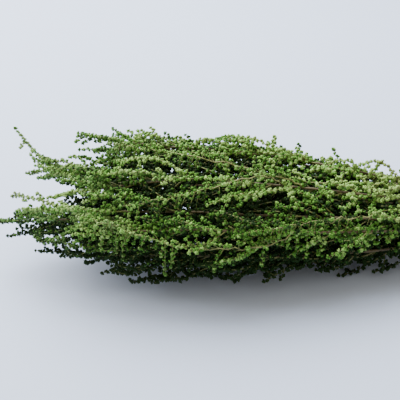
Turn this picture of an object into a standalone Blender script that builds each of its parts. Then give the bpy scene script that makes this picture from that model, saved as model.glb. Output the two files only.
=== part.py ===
"""A bunch of preserved stoebe, lying on a surface.

Fourteen cut stems are held by an elastic band near their cut ends. From the band they fan out into a long plume,
wider than it is high, and flattened underneath where it lies. Each stem is one solid: its woody axis, and the twigs
that grow from it, which are strings of small round leaf tufts set left and right in turn.

The stems are laid out in a working frame whose X = 0 is the middle of the band, with the tips towards -X and the
surface at Z = 0. The finished bunch is then moved so that the origin is under the middle of its box.
"""

import math
import random

import bmesh
import bpy
from mathutils import Vector

# The whole bunch: the driving dimensions, in metres.
CUT_END_X = 0.045
CUT_END_STAGGER = 0.006
FAN_START_X = -0.015
FAN_LENGTH = 0.095
PLUME_LENGTH = 0.460
PLUME_WIDTH = 0.186
PLUME_HEIGHT = 0.113
PLUME_RISE = 0.033
FULLEST_LATE = 1.5
WIDTH_BLUNTNESS = 0.5
HEIGHT_BLUNTNESS = 0.4
WIDEST_X = -0.305
LEAVES_START_X = -0.060

# Each stem: its row from the top of the tied bundle, its place in that row from the front, the part of the plume's
# half width and half height where it runs, the (x, y, z) of its tip, and how late it turns from its lane to that
# tip: 1 is a straight line, and a large number a sharp rise near the end.
STEMS = (
    (0, 0, (-0.28, 0.70), (-0.437, -0.022, 0.073), 1.6),
    (0, 1, (0.30, 0.74), (-0.414, 0.030, 0.110), 1.6),
    (1, 0, (-0.56, 0.40), (-0.460, -0.036, 0.069), 1.6),
    (1, 1, (0.02, 0.32), (-0.440, 0.010, 0.083), 1.6),
    (1, 2, (0.60, 0.42), (-0.402, 0.062, 0.090), 1.6),
    (2, 0, (-0.80, 0.34), (-0.410, -0.070, 0.065), 1.6),
    (2, 1, (-0.27, 0.04), (-0.482, -0.022, 0.048), 1.6),
    (2, 2, (0.26, -0.04), (-0.458, 0.034, 0.083), 2.0),
    (2, 3, (0.80, 0.04), (-0.388, 0.076, 0.093), 1.6),
    (3, 0, (-0.62, -0.30), (-0.425, -0.052, 0.032), 1.6),
    (3, 1, (0.02, -0.38), (-0.478, -0.014, 0.029), 1.6),
    (3, 2, (0.58, -0.36), (-0.478, 0.060, 0.101), 4.0),
    (4, 0, (-0.30, -0.70), (-0.450, -0.034, 0.026), 1.6),
    (4, 1, (0.30, -0.72), (-0.434, 0.030, 0.020), 1.6),
)
ROW_LENGTHS = (2, 3, 4, 3, 2)
ROW_SLANT = math.radians(60)
STEM_RADIUS = 0.0021
STEM_PITCH = 0.0046
AXIS_END_RADIUS = 0.0008
AXIS_TAPER = 1.5
AXIS_SEGMENTS = 12
AXIS_CROWDING = 0.4
ROUTE_STEPS = 120
TERMINAL_LENGTH = 0.050

# Twigs and their leaf tufts. Each step along a twig is half of one tuft and its neck.
TWIG_STEP = 0.0033
TUFT_RADIUS = 0.0021
NECK_RADIUS = 0.0007
BUD_RADIUS = 0.00084
TUFT_SIDESTEP = 0.0009
TWIGS_PER_STEM = 7
TWIG_LENGTH = 0.056
TWIG_LENGTH_LOST_AT_TIP = 0.5
TWIG_LENGTH_LOST_PER_TRY = 0.015
SHORTEST_TWIG = 0.022
SMALLEST_LEAN = math.radians(30)
LARGEST_LEAN = math.radians(48)
TWIG_TRIES = 40
GOLDEN_ANGLE = math.radians(137.5)
FAVOUR_OUTSIDE = 0.6
CLEARANCE = 0.0006
BALL_SPACING = 0.0017
RINGS_IN_STEM = 3

# How a twig's heading changes at each step, as shares of its direction.
TURN_TO_TIP = 0.055
DROOP = 0.030
WANDER = 0.07
PULL_BACK = 1.2
PLUME_EDGE = 0.95

# A twig's middle comes no lower than this, where it turns along the surface, and what is lower than the second
# height is pressed flat on it.
LOWEST_TWIG = 0.0019
BOUNCE = 0.2
PRESSED_FLAT = 0.0007

# The elastic band, wound three turns side by side.
BAND_WIDTH = 0.0090
BAND_THICKNESS = 0.0014
BAND_GROOVE = 0.0005
RIDGE_SHARE = 0.64
BAND_TURNS = 3
BAND_POINTS = 24
TOUCHING_GAP = 0.0003

SHARP_EDGE = math.radians(50)
LEAF_GREEN = (0.105, 0.190, 0.035, 1.0)
RUBBER_TAN = (0.52, 0.36, 0.20, 1.0)


def bundle_height():
    """How high the middle of the tied bundle lies, with the band resting on the surface."""
    half_rows = (len(ROW_LENGTHS) - 1) / 2 * STEM_PITCH * math.sin(ROW_SLANT)
    return half_rows + STEM_RADIUS + TOUCHING_GAP + BAND_THICKNESS


def bundle_place(row, place):
    """The (y, z) of a stem where the band holds it, in a honeycomb of touching rows."""
    middle_row = (len(ROW_LENGTHS) - 1) / 2
    y = (place - (ROW_LENGTHS[row] - 1) / 2) * STEM_PITCH
    z = bundle_height() + (middle_row - row) * STEM_PITCH * math.sin(ROW_SLANT)
    return y, z


def eased(share):
    """A share from 0 to 1 that starts and stops gently."""
    share = min(max(share, 0), 1)
    return share * share * (3 - 2 * share)


def plume_section(x):
    """The middle height, half width and half height of the plume at an X, fullest at two thirds of its length."""
    share = min(max((FAN_START_X - x) / PLUME_LENGTH, 0.02), 0.97)
    fullness = math.sin(math.pi * share**FULLEST_LATE)
    half_width = PLUME_WIDTH / 2 * fullness**WIDTH_BLUNTNESS
    half_height = PLUME_HEIGHT / 2 * fullness**HEIGHT_BLUNTNESS
    return PLUME_RISE * (1 + share), half_width, half_height


def stem_route(row, place, lane, tip, lateness):
    """Closely spaced points from a stem's cut end, through the band and its lane in the plume, to its tip."""
    bundle_y, bundle_z = bundle_place(row, place)
    bundled = Vector((0, bundle_y, bundle_z))
    stagger = CUT_END_STAGGER * math.sin(5 * row + 3 * place)
    points = [Vector((CUT_END_X + stagger, bundle_y, bundle_z)), Vector((0, bundle_y, bundle_z))]
    for i in range(ROUTE_STEPS + 1):
        x = FAN_START_X + (tip[0] - FAN_START_X) * i / ROUTE_STEPS
        middle, half_width, half_height = plume_section(max(x, WIDEST_X))
        spread = Vector((0, lane[0] * half_width, middle + lane[1] * half_height))
        past_lane = max(WIDEST_X - x, 0) / (WIDEST_X - tip[0])
        spread = spread.lerp(Vector((0, tip[1], tip[2])), past_lane**lateness)
        point = bundled.lerp(spread, eased((FAN_START_X - x) / FAN_LENGTH))
        points.append(point + Vector((x, 0, 0)))
    return points


def lengths_along(points):
    """The distance from the first point to each point of a route."""
    total = [0.0]
    for a, b in zip(points, points[1:]):
        total.append(total[-1] + (b - a).length)
    return total


def point_at(points, lengths, distance):
    """The point and the direction of a route at a distance from its start."""
    i = 1
    while i < len(points) - 1 and lengths[i] < distance:
        i += 1
    share = (distance - lengths[i - 1]) / (lengths[i] - lengths[i - 1])
    return points[i - 1].lerp(points[i], share), (points[i] - points[i - 1]).normalized()


class Room:
    """The balls that finished pieces fill, by which a new twig is bent clear of the others."""

    CELL = 2 * TUFT_RADIUS + CLEARANCE

    def __init__(self):
        self.balls = {}

    def cell(self, point):
        return tuple(math.floor(c / self.CELL) for c in point)

    def fill(self, stem, point, radius):
        self.balls.setdefault(self.cell(point), []).append((stem, point, radius))

    def is_free(self, point, radius, ignored_stem=None):
        x, y, z = self.cell(point)
        for i in (x - 1, x, x + 1):
            for j in (y - 1, y, y + 1):
                for k in (z - 1, z, z + 1):
                    for stem, other, other_radius in self.balls.get((i, j, k), ()):
                        reach = radius + other_radius + CLEARANCE
                        if stem != ignored_stem and (point - other).length < reach:
                            return False
        return True


def inward_pull(point):
    """How a twig is drawn back in at the plume's edge: nothing well inside, and more the further out it is."""
    middle, half_width, half_height = plume_section(point.x)
    out = Vector((0, point.y / half_width, (point.z - middle) / half_height))
    return -PULL_BACK * max(out.length - PLUME_EDGE, 0) * out.normalized()


def grown_twig(draw, start, direction, forward, length):
    """The route of a twig: it leaves its stem at an angle, turns towards the stem's tip, and droops a little."""
    points = [start]
    heading = direction.copy()
    down = Vector((0, 0, -1))
    for _ in range(round(length / TWIG_STEP)):
        wander = Vector([draw.uniform(-1, 1) for _ in range(3)])
        heading += TURN_TO_TIP * forward + DROOP * down + WANDER * wander + inward_pull(points[-1])
        heading.normalize()
        point = points[-1] + heading * TWIG_STEP
        if point.z < LOWEST_TWIG:
            point.z = LOWEST_TWIG
            heading.z = abs(heading.z) * BOUNCE
        points.append(point)
    return points


def radius_at(index, count):
    """A twig's radius at a step: tufts on the odd steps, and thin necks between them."""
    if index == count - 1:
        return BUD_RADIUS
    return TUFT_RADIUS if index % 2 else NECK_RADIUS


def tuft_chain(points):
    """The centres of a twig's rings, with its tufts set to the left and right in turn, and their radii."""
    centres = []
    for i, point in enumerate(points):
        ahead = points[min(i + 1, len(points) - 1)] - points[max(i - 1, 0)]
        sideways = ahead.cross(Vector((0.3, 0.2, 1))).normalized()
        turn = (0, 1, 0, -1)[i % 4] if i < len(points) - 1 else 0
        centres.append(point + sideways * turn * TUFT_SIDESTEP)
    return centres, [radius_at(i, len(points)) for i in range(len(points))]


def axis_radius(share):
    """The radius of a stem's axis at a share of its length from the cut end."""
    return STEM_RADIUS + (AXIS_END_RADIUS - STEM_RADIUS) * share**AXIS_TAPER


def bare_stem(room, number, *stem):
    """A stem's axis, with the chain of tufts at its tip, laid out before any side twig."""
    route = stem_route(*stem)
    lengths = lengths_along(route)
    axis_length = lengths[-1] - TERMINAL_LENGTH
    balls = round(lengths[-1] / BALL_SPACING)
    for i in range(balls + 1):
        distance = lengths[-1] * i / balls
        radius = TUFT_RADIUS + TUFT_SIDESTEP if distance > axis_length else axis_radius(distance / axis_length)
        room.fill(number, point_at(route, lengths, distance)[0], radius)
    steps = round(TERMINAL_LENGTH / TWIG_STEP) + 2
    distances = [lengths[-1] - (steps - i) * TWIG_STEP for i in range(steps + 1)]
    terminal = [point_at(route, lengths, distance)[0] for distance in distances]
    return {"route": route, "lengths": lengths, "axis_length": axis_length, "twigs": [terminal]}


def free_twig(room, number, stem, turn):
    """A twig's route that stays clear of every other stem, or None where there is no room for one."""
    draw = random.Random(1000 * number + turn)
    leaves_start = CUT_END_X - LEAVES_START_X
    share = (turn + draw.uniform(0.15, 0.85)) / TWIGS_PER_STEM
    distance = leaves_start + (stem["axis_length"] - leaves_start) * share
    start, forward = point_at(stem["route"], stem["lengths"], distance)
    side = forward.cross(Vector((0, 0, 1))).normalized()
    over = side.cross(forward)
    outward = math.atan2(start.z - plume_section(start.x)[0], start.y)
    turned = (turn * GOLDEN_ANGLE + number) % (2 * math.pi) - math.pi
    for attempt in range(TWIG_TRIES):
        azimuth = outward + FAVOUR_OUTSIDE * turned + draw.uniform(-0.1, 0.1) * attempt
        lean = draw.uniform(SMALLEST_LEAN, LARGEST_LEAN)
        outwards = side * math.cos(azimuth) + over * math.sin(azimuth)
        direction = forward * math.cos(lean) + outwards * math.sin(lean)
        length = TWIG_LENGTH * (1 - TWIG_LENGTH_LOST_AT_TIP * share) * (1 - TWIG_LENGTH_LOST_PER_TRY * attempt)
        points = grown_twig(draw, start, direction, forward, max(length, SHORTEST_TWIG))
        rings = list(zip(*tuft_chain(points)))
        near_stem = all(room.is_free(*ring, ignored_stem=number) for ring in rings[:RINGS_IN_STEM])
        if near_stem and all(room.is_free(*ring) for ring in rings[RINGS_IN_STEM:]):
            for centre, radius in rings[1:]:
                room.fill(number, centre, radius)
            return points
    return None


def lay_out_stems():
    """Every stem as its axis route and its twig routes, with each twig bent clear of what is there already."""
    room = Room()
    stems = [bare_stem(room, number, *stem) for number, stem in enumerate(STEMS)]
    for turn in range(TWIGS_PER_STEM):
        for number, stem in enumerate(stems):
            twig = free_twig(room, number, stem, turn)
            if twig:
                stem["twigs"].append(twig)
    return stems


def clear_scene():
    """An empty scene to build in."""
    for obj in list(bpy.data.objects):
        bpy.data.objects.remove(obj)


def matte(name, color, roughness):
    """A plain matte material."""
    material = bpy.data.materials.new(name)
    material.use_nodes = True
    shader = material.node_tree.nodes["Principled BSDF"]
    shader.inputs["Base Color"].default_value = color
    shader.inputs["Roughness"].default_value = roughness
    return material


def tube(name, points, radii, bevel_resolution, collection):
    """A closed mesh tube along the points, made from a bevelled curve."""
    curve = bpy.data.curves.new(name, "CURVE")
    curve.dimensions = "3D"
    curve.bevel_depth = 1.0
    curve.bevel_resolution = bevel_resolution
    curve.use_fill_caps = True
    spline = curve.splines.new("POLY")
    spline.points.add(len(points) - 1)
    for knot, point, radius in zip(spline.points, points, radii):
        knot.co = (*point, 1)
        knot.radius = radius
    holder = bpy.data.objects.new(name + "_curve", curve)
    collection.objects.link(holder)
    graph = bpy.context.evaluated_depsgraph_get()
    mesh = bpy.data.meshes.new_from_object(holder.evaluated_get(graph))
    bpy.data.objects.remove(holder)
    weld(mesh)
    obj = bpy.data.objects.new(name, mesh)
    collection.objects.link(obj)
    return obj


def weld(mesh):
    """Joins the loose caps of a mesh to its sides."""
    work = bmesh.new()
    work.from_mesh(mesh)
    bmesh.ops.remove_doubles(work, verts=work.verts, dist=0.00001)
    work.to_mesh(mesh)
    work.free()


def finish(mesh, material):
    """Gives a mesh its material, and smooth shading except across sharp edges."""
    mesh.materials.clear()
    mesh.materials.append(material)
    mesh.shade_smooth()
    mesh.set_sharp_from_angle(angle=SHARP_EDGE)


def press_on_surface(mesh):
    """Flattens what would sink into the surface, or hang just above it."""
    for vertex in mesh.vertices:
        if vertex.co.z < PRESSED_FLAT:
            vertex.co.z = 0


def ring_shares():
    """Where an axis has its rings, from 0 to 1: closer together at both ends, where it bends most."""
    even = [i / AXIS_SEGMENTS for i in range(AXIS_SEGMENTS + 1)]
    return [share - AXIS_CROWDING * math.sin(2 * math.pi * share) / (2 * math.pi) for share in even]


def leafy_stem(name, stem, material, collection):
    """One stem as a single solid: its axis, joined with its twigs."""
    axis_length = stem["axis_length"]
    fan_start = stem["lengths"][2]
    places = [0] + [fan_start + (axis_length - fan_start) * share for share in ring_shares()]
    points = [point_at(stem["route"], stem["lengths"], place)[0] for place in places]
    radii = [axis_radius(place / axis_length) for place in places]
    axis = tube(name, points, radii, 1, collection)
    twigs = bpy.data.collections.new(name + "_twigs")
    bpy.context.scene.collection.children.link(twigs)
    for i, route in enumerate(stem["twigs"]):
        tube(f"{name}_twig_{i}", *tuft_chain(route), 0, twigs)
    union = axis.modifiers.new("twigs", "BOOLEAN")
    union.operation = "UNION"
    union.operand_type = "COLLECTION"
    union.collection = twigs
    union.solver = "EXACT"
    graph = bpy.context.evaluated_depsgraph_get()
    joined = bpy.data.meshes.new_from_object(axis.evaluated_get(graph))
    axis.modifiers.clear()
    axis.data = joined
    press_on_surface(joined)
    finish(joined, material)
    for twig in list(twigs.objects):
        bpy.data.objects.remove(twig)
    bpy.data.collections.remove(twigs)
    return axis


def band_outline():
    """The (y, z) points of the band's inner side: a belt drawn tight round the outer stems of the bundle."""
    places = [bundle_place(row, place) for row, place, *_ in STEMS]
    reach = (STEM_RADIUS + TOUCHING_GAP) / math.cos(math.pi / BAND_POINTS)
    outline = []
    for i in range(BAND_POINTS):
        angle = 2 * math.pi * (i + 0.5) / BAND_POINTS
        out = (math.cos(angle), math.sin(angle))
        y, z = max(places, key=lambda p: p[0] * out[0] + p[1] * out[1])
        outline.append((y + reach * out[0], z + reach * out[1]))
    return outline


def band_section():
    """The (outwards, across) corners of the band's section: flat inside, and a flat-topped ridge for each turn."""
    turn_width = BAND_WIDTH / BAND_TURNS
    corners = [(0, -BAND_WIDTH / 2), (0, BAND_WIDTH / 2)]
    for i in reversed(range(BAND_TURNS)):
        middle = (i - (BAND_TURNS - 1) / 2) * turn_width
        corners.append((BAND_THICKNESS, middle + RIDGE_SHARE * turn_width / 2))
        corners.append((BAND_THICKNESS, middle - RIDGE_SHARE * turn_width / 2))
        if i:
            corners.append((BAND_THICKNESS - BAND_GROOVE, middle - turn_width / 2))
    return corners


def closed_curve(name, corners):
    """A closed flat curve through the corners."""
    curve = bpy.data.curves.new(name, "CURVE")
    curve.dimensions = "2D"
    curve.fill_mode = "NONE"
    spline = curve.splines.new("POLY")
    spline.points.add(len(corners) - 1)
    for knot, (u, v) in zip(spline.points, corners):
        knot.co = (u, v, 0, 1)
    spline.use_cyclic_u = True
    return curve


def elastic_band(material, collection):
    """The band: its section swept round the bundle, first lying flat, and then stood up across the stems."""
    middle_z = bundle_height()
    belt = closed_curve("band_belt", [(y, z - middle_z) for y, z in band_outline()])
    section = closed_curve("band_section", [(-out, -across) for out, across in band_section()])
    profile = bpy.data.objects.new("band_section", section)
    holder = bpy.data.objects.new("band_belt", belt)
    belt.bevel_mode = "OBJECT"
    belt.bevel_object = profile
    for helper in (profile, holder):
        collection.objects.link(helper)
    graph = bpy.context.evaluated_depsgraph_get()
    mesh = bpy.data.meshes.new_from_object(holder.evaluated_get(graph))
    for helper in (profile, holder):
        bpy.data.objects.remove(helper)
    weld(mesh)
    for vertex in mesh.vertices:
        y, z, x = vertex.co
        vertex.co = (x, y, z + middle_z)
    finish(mesh, material)
    obj = bpy.data.objects.new("elastic_band", mesh)
    collection.objects.link(obj)
    return obj


def centre_over_origin(objects):
    """Moves the whole bunch so that the middle of its box is over the origin."""
    xs = [v.co.x for obj in objects for v in obj.data.vertices]
    ys = [v.co.y for obj in objects for v in obj.data.vertices]
    shift = Vector((-(min(xs) + max(xs)) / 2, -(min(ys) + max(ys)) / 2, 0))
    for obj in objects:
        obj.location = shift


def build():
    clear_scene()
    bunch = bpy.data.collections.new("preserved_stoebe_bunch")
    bpy.context.scene.collection.children.link(bunch)
    green = matte("preserved_foliage", LEAF_GREEN, 0.6)
    rubber = matte("natural_rubber", RUBBER_TAN, 0.55)
    pieces = [
        leafy_stem(f"leafy_stem_{number + 1:02d}", stem, green, bunch)
        for number, stem in enumerate(lay_out_stems())
    ]
    pieces.append(elastic_band(rubber, bunch))
    centre_over_origin(pieces)


build()
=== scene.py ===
"""A tied bunch of preserved stoebe on a pale surface: the looks of its leafy stems and of its band."""

import math
import random

import bmesh
import bpy
from mathutils import Matrix, Vector
from mathutils.geometry import interpolate_bezier


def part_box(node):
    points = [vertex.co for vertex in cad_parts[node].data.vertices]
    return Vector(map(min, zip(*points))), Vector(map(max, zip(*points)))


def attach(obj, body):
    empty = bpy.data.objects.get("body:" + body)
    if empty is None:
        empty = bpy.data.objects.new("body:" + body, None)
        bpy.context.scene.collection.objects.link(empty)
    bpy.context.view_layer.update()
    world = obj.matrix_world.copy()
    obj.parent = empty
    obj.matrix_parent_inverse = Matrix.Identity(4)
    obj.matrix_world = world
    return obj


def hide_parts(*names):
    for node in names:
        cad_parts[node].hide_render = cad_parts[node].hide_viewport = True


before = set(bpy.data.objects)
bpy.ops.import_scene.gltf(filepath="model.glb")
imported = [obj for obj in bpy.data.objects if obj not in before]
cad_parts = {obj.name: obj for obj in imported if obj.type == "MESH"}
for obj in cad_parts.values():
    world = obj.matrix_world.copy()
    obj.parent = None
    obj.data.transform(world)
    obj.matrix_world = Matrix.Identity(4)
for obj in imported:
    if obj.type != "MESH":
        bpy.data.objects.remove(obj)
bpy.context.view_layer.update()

band_low, band_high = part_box("elastic_band")
# The stems' own measures start from the middle of the band.
band_place = Vector(((band_low[0] + band_high[0]) / 2, (band_low[1] + band_high[1]) / 2, 0))

# The view. The bunch is seen from its long side, a little from above, with its tips to the left and its cut
# ends out of the picture to the right.
VIEW_HEIGHT_ANGLE = math.radians(30)
VIEW_DISTANCE = 0.80
VIEW_LENS = 80
VIEW_TARGET = band_place + Vector((-0.305, 0, 0.058))

towards_viewer = Vector((0, -math.cos(VIEW_HEIGHT_ANGLE), math.sin(VIEW_HEIGHT_ANGLE)))
camera = bpy.data.objects.new("camera", bpy.data.cameras.new("camera"))
camera.data.lens = VIEW_LENS
camera.location = VIEW_TARGET + VIEW_DISTANCE * towards_viewer
camera.rotation_euler = (math.pi / 2 - VIEW_HEIGHT_ANGLE, 0, 0)
bpy.context.scene.collection.objects.link(camera)
bpy.context.scene.camera = camera

# The stems as they are laid in the bunch. Each was cut from the bush as one long woody shoot. The florist
# gathers them with their cut ends level, and they fan out from the band into a plume that is flattened where
# it lies.
CUT_END_X = 0.045
CUT_END_STAGGER = 0.006
FAN_START_X = -0.015
FAN_LENGTH = 0.095
PLUME_LENGTH = 0.460
PLUME_WIDTH = 0.186
PLUME_HEIGHT = 0.113
PLUME_RISE = 0.033
FIRST_SECTION = 0.02
LAST_SECTION = 0.97
FULLEST_LATE = 1.5
WIDTH_BLUNTNESS = 0.5
HEIGHT_BLUNTNESS = 0.4
WIDEST_X = -0.305
LEAVES_START_X = -0.060
# Each stem: its row from the top of the tied bundle, its place in that row from the front, the part of the
# plume's half width and half height where it runs, the (x, y, z) of its tip, and how late it turns to that
# tip where it isn't as late as most. There 1 is a straight line, and 4 a sharp rise near the end.
STEMS = (
    (0, 0, (-0.28, 0.70), (-0.437, -0.022, 0.073)),
    (0, 1, (0.30, 0.74), (-0.414, 0.030, 0.110)),
    (1, 0, (-0.56, 0.40), (-0.460, -0.036, 0.069)),
    (1, 1, (0.02, 0.32), (-0.440, 0.010, 0.083)),
    (1, 2, (0.60, 0.42), (-0.402, 0.062, 0.090)),
    (2, 0, (-0.80, 0.34), (-0.410, -0.070, 0.065)),
    (2, 1, (-0.27, 0.04), (-0.482, -0.022, 0.048)),
    (2, 2, (0.26, -0.04), (-0.458, 0.034, 0.083), 2.0),
    (2, 3, (0.80, 0.04), (-0.388, 0.076, 0.093)),
    (3, 0, (-0.62, -0.30), (-0.425, -0.052, 0.032)),
    (3, 1, (0.02, -0.38), (-0.478, -0.014, 0.029)),
    (3, 2, (0.58, -0.36), (-0.478, 0.060, 0.101), 4.0),
    (4, 0, (-0.30, -0.70), (-0.450, -0.034, 0.026)),
    (4, 1, (0.30, -0.72), (-0.434, 0.030, 0.020)),
)
USUAL_LATENESS = 1.6
ROW_LENGTHS = (2, 3, 4, 3, 2)
ROW_SLANT = math.radians(60)
STEM_RADIUS = 0.0021
STEM_PITCH = 0.0046
AXIS_END_RADIUS = 0.0008
AXIS_TAPER = 1.5
ROUTE_STEPS = 120
TERMINAL_LENGTH = 0.050
BAND_THICKNESS = 0.0014
TOUCHING_GAP = 0.0003


def bundle_place(row, place):
    """The (y, z) of a stem in the tied bundle, a honeycomb of close rows with the band under the lowest."""
    rows_below = len(ROW_LENGTHS) - 1 - row
    lowest = BAND_THICKNESS + TOUCHING_GAP + STEM_RADIUS
    y = (place - (ROW_LENGTHS[row] - 1) / 2) * STEM_PITCH
    return y, lowest + rows_below * STEM_PITCH * math.sin(ROW_SLANT)


def eased(share):
    """A share from 0 to 1 that starts and stops gently."""
    share = min(max(share, 0), 1)
    return share * share * (3 - 2 * share)


def plume_share(point):
    """How far along the plume a point lies: 0 where the stems fan out, and 1 at the plume's tips."""
    return min(max((FAN_START_X - point.x) / PLUME_LENGTH, 0), 1)


def plume_section(x):
    """The plume's middle height, half width and half height at an X. It is fullest past its middle."""
    share = min(max((FAN_START_X - x) / PLUME_LENGTH, FIRST_SECTION), LAST_SECTION)
    fullness = math.sin(math.pi * share**FULLEST_LATE)
    half_width = PLUME_WIDTH / 2 * fullness**WIDTH_BLUNTNESS
    half_height = PLUME_HEIGHT / 2 * fullness**HEIGHT_BLUNTNESS
    return PLUME_RISE * (1 + share), half_width, half_height


def stem_route(row, place, lane, tip, lateness=USUAL_LATENESS):
    """Closely spaced points from a stem's cut end, through the band and its lane in the plume, to its tip."""
    bundle_y, bundle_z = bundle_place(row, place)
    bundled = Vector((0, bundle_y, bundle_z))
    stagger = CUT_END_STAGGER * math.sin(5 * row + 3 * place)
    points = [Vector((CUT_END_X + stagger, bundle_y, bundle_z)), bundled]
    for i in range(ROUTE_STEPS + 1):
        x = FAN_START_X + (tip[0] - FAN_START_X) * i / ROUTE_STEPS
        middle, half_width, half_height = plume_section(max(x, WIDEST_X))
        spread = Vector((0, lane[0] * half_width, middle + lane[1] * half_height))
        past_lane = max(WIDEST_X - x, 0) / (WIDEST_X - tip[0])
        spread = spread.lerp(Vector((0, tip[1], tip[2])), past_lane**lateness)
        point = bundled.lerp(spread, eased((FAN_START_X - x) / FAN_LENGTH))
        points.append(point + Vector((x, 0, 0)))
    return points


def lengths_along(points):
    """The distance from the first point to each point of a route."""
    total = [0.0]
    for a, b in zip(points, points[1:]):
        total.append(total[-1] + (b - a).length)
    return total


def point_at(points, lengths, distance):
    """The point and the direction of a route at a distance from its start."""
    i = 1
    while i < len(points) - 1 and lengths[i] < distance:
        i += 1
    share = (distance - lengths[i - 1]) / (lengths[i] - lengths[i - 1])
    return points[i - 1].lerp(points[i], share), (points[i] - points[i - 1]).normalized()


def axis_radius(share, taper):
    """The radius of a stem's axis at a share of its length from the cut end."""
    return STEM_RADIUS + (AXIS_END_RADIUS - STEM_RADIUS) * share**taper


# The leading twigs. They are the ones that the solids carry too, bent clear of each other where they leave
# the stem. Each turns towards the tip of its stem and droops a little under its own weight.
TWIG_STEP = 0.0033
TUFT_RADIUS = 0.0021
NECK_RADIUS = 0.0007
BUD_RADIUS = 0.00084
TUFT_SIDESTEP = 0.0009
CHAIN_UPRIGHT = Vector((0.3, 0.2, 1))
TWIGS_PER_STEM = 7
SEEDS_PER_STEM = 1000
TWIG_PLACES = (0.15, 0.85)
TWIG_LENGTH = 0.056
TWIG_LENGTH_LOST_AT_TIP = 0.5
TWIG_LENGTH_LOST_PER_TRY = 0.015
SHORTEST_TWIG = 0.022
TWIG_LEANS = (math.radians(30), math.radians(48))
TWIG_TRIES = 40
TURNED_PER_TRY = 0.1
GOLDEN_ANGLE = math.radians(137.5)
FAVOUR_OUTSIDE = 0.6
CLEARANCE = 0.0006
BALL_SPACING = 0.0017
RINGS_IN_STEM = 3
TURN_TO_TIP = 0.055
DROOP = 0.030
WANDER = 0.07
PULL_BACK = 1.2
PLUME_EDGE = 0.95
LOWEST_TWIG = 0.0019
BOUNCE = 0.2


class Room:
    """The balls that finished pieces fill, by which a new twig is bent clear of the others."""

    CELL = 2 * TUFT_RADIUS + CLEARANCE

    def __init__(self):
        self.balls = {}

    def cell(self, point):
        return tuple(math.floor(c / self.CELL) for c in point)

    def fill(self, stem, point, radius):
        self.balls.setdefault(self.cell(point), []).append((stem, point, radius))

    def is_free(self, point, radius, ignored_stem=None):
        x, y, z = self.cell(point)
        for i in (x - 1, x, x + 1):
            for j in (y - 1, y, y + 1):
                for k in (z - 1, z, z + 1):
                    for stem, other, other_radius in self.balls.get((i, j, k), ()):
                        reach = radius + other_radius + CLEARANCE
                        if stem != ignored_stem and (point - other).length < reach:
                            return False
        return True


def outness(point):
    """How far out in the plume's section a point lies, as a vector that is 1 long at the plume's edge."""
    middle, half_width, half_height = plume_section(point.x)
    return Vector((0, point.y / half_width, (point.z - middle) / half_height))


def crosswise(forward):
    """Two directions square to a route's direction and to each other."""
    side = forward.cross(Vector((0, 0, 1))).normalized()
    return side, side.cross(forward)


def leaning(forward, azimuth, lean):
    """The direction that leans away from a route's own direction, to one side of it."""
    side, over = crosswise(forward)
    outwards = side * math.cos(azimuth) + over * math.sin(azimuth)
    return forward * math.cos(lean) + outwards * math.sin(lean)


def even_edge(reach):
    """An edge of the growth that lies at the same share of the plume's section everywhere."""
    return lambda point, out: reach


def grown_twig(
    draw, start, forward, azimuth, lean, length,
    turn_to_tip=TURN_TO_TIP, edge_at=even_edge(PLUME_EDGE), droop=DROOP, unrest=WANDER,
):
    """The route of a twig: it leaves its stem at an angle, turns towards the stem's tip, and droops."""
    points = [start]
    heading = leaning(forward, azimuth, lean)
    down = Vector((0, 0, -1))
    for _ in range(round(length / TWIG_STEP)):
        wander = Vector([draw.uniform(-1, 1) for _ in range(3)])
        out = outness(points[-1])
        inward_pull = -PULL_BACK * max(out.length - edge_at(points[-1], out), 0) * out.normalized()
        heading += turn_to_tip * forward + droop * down + unrest * wander + inward_pull
        heading.normalize()
        point = points[-1] + heading * TWIG_STEP
        if point.z < LOWEST_TWIG:
            point.z = LOWEST_TWIG
            heading.z = abs(heading.z) * BOUNCE
        points.append(point)
    return points


def tuft_chain(points):
    """The centres and radii of a twig's rings: tufts set left and right in turn, and thin necks between."""
    radii = [TUFT_RADIUS if i % 2 else NECK_RADIUS for i in range(len(points))]
    radii[-1] = BUD_RADIUS
    centres = []
    for i, point in enumerate(points):
        ahead = points[min(i + 1, len(points) - 1)] - points[max(i - 1, 0)]
        sideways = ahead.cross(CHAIN_UPRIGHT).normalized()
        turn = (0, 1, 0, -1)[i % 4] if i < len(points) - 1 else 0
        centres.append(point + sideways * turn * TUFT_SIDESTEP)
    return centres, radii


def bare_stem(room, number, *stem):
    """A stem's axis, with the chain of tufts at its tip, laid out before any side twig."""
    route = stem_route(*stem)
    lengths = lengths_along(route)
    axis_length = lengths[-1] - TERMINAL_LENGTH
    balls = round(lengths[-1] / BALL_SPACING)
    for i in range(balls + 1):
        distance = lengths[-1] * i / balls
        radius = TUFT_RADIUS + TUFT_SIDESTEP
        if distance <= axis_length:
            radius = axis_radius(distance / axis_length, AXIS_TAPER)
        room.fill(number, point_at(route, lengths, distance)[0], radius)
    steps = round(TERMINAL_LENGTH / TWIG_STEP) + 2
    distances = [lengths[-1] - (steps - i) * TWIG_STEP for i in range(steps + 1)]
    terminal = [point_at(route, lengths, distance)[0] for distance in distances]
    return {"route": route, "lengths": lengths, "axis_length": axis_length, "twigs": [terminal]}


def leafy_distance(stem, share):
    """The distance from a stem's cut end at a share of its leafy length."""
    leaves_start = CUT_END_X - LEAVES_START_X
    return leaves_start + (stem["axis_length"] - leaves_start) * share


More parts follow.
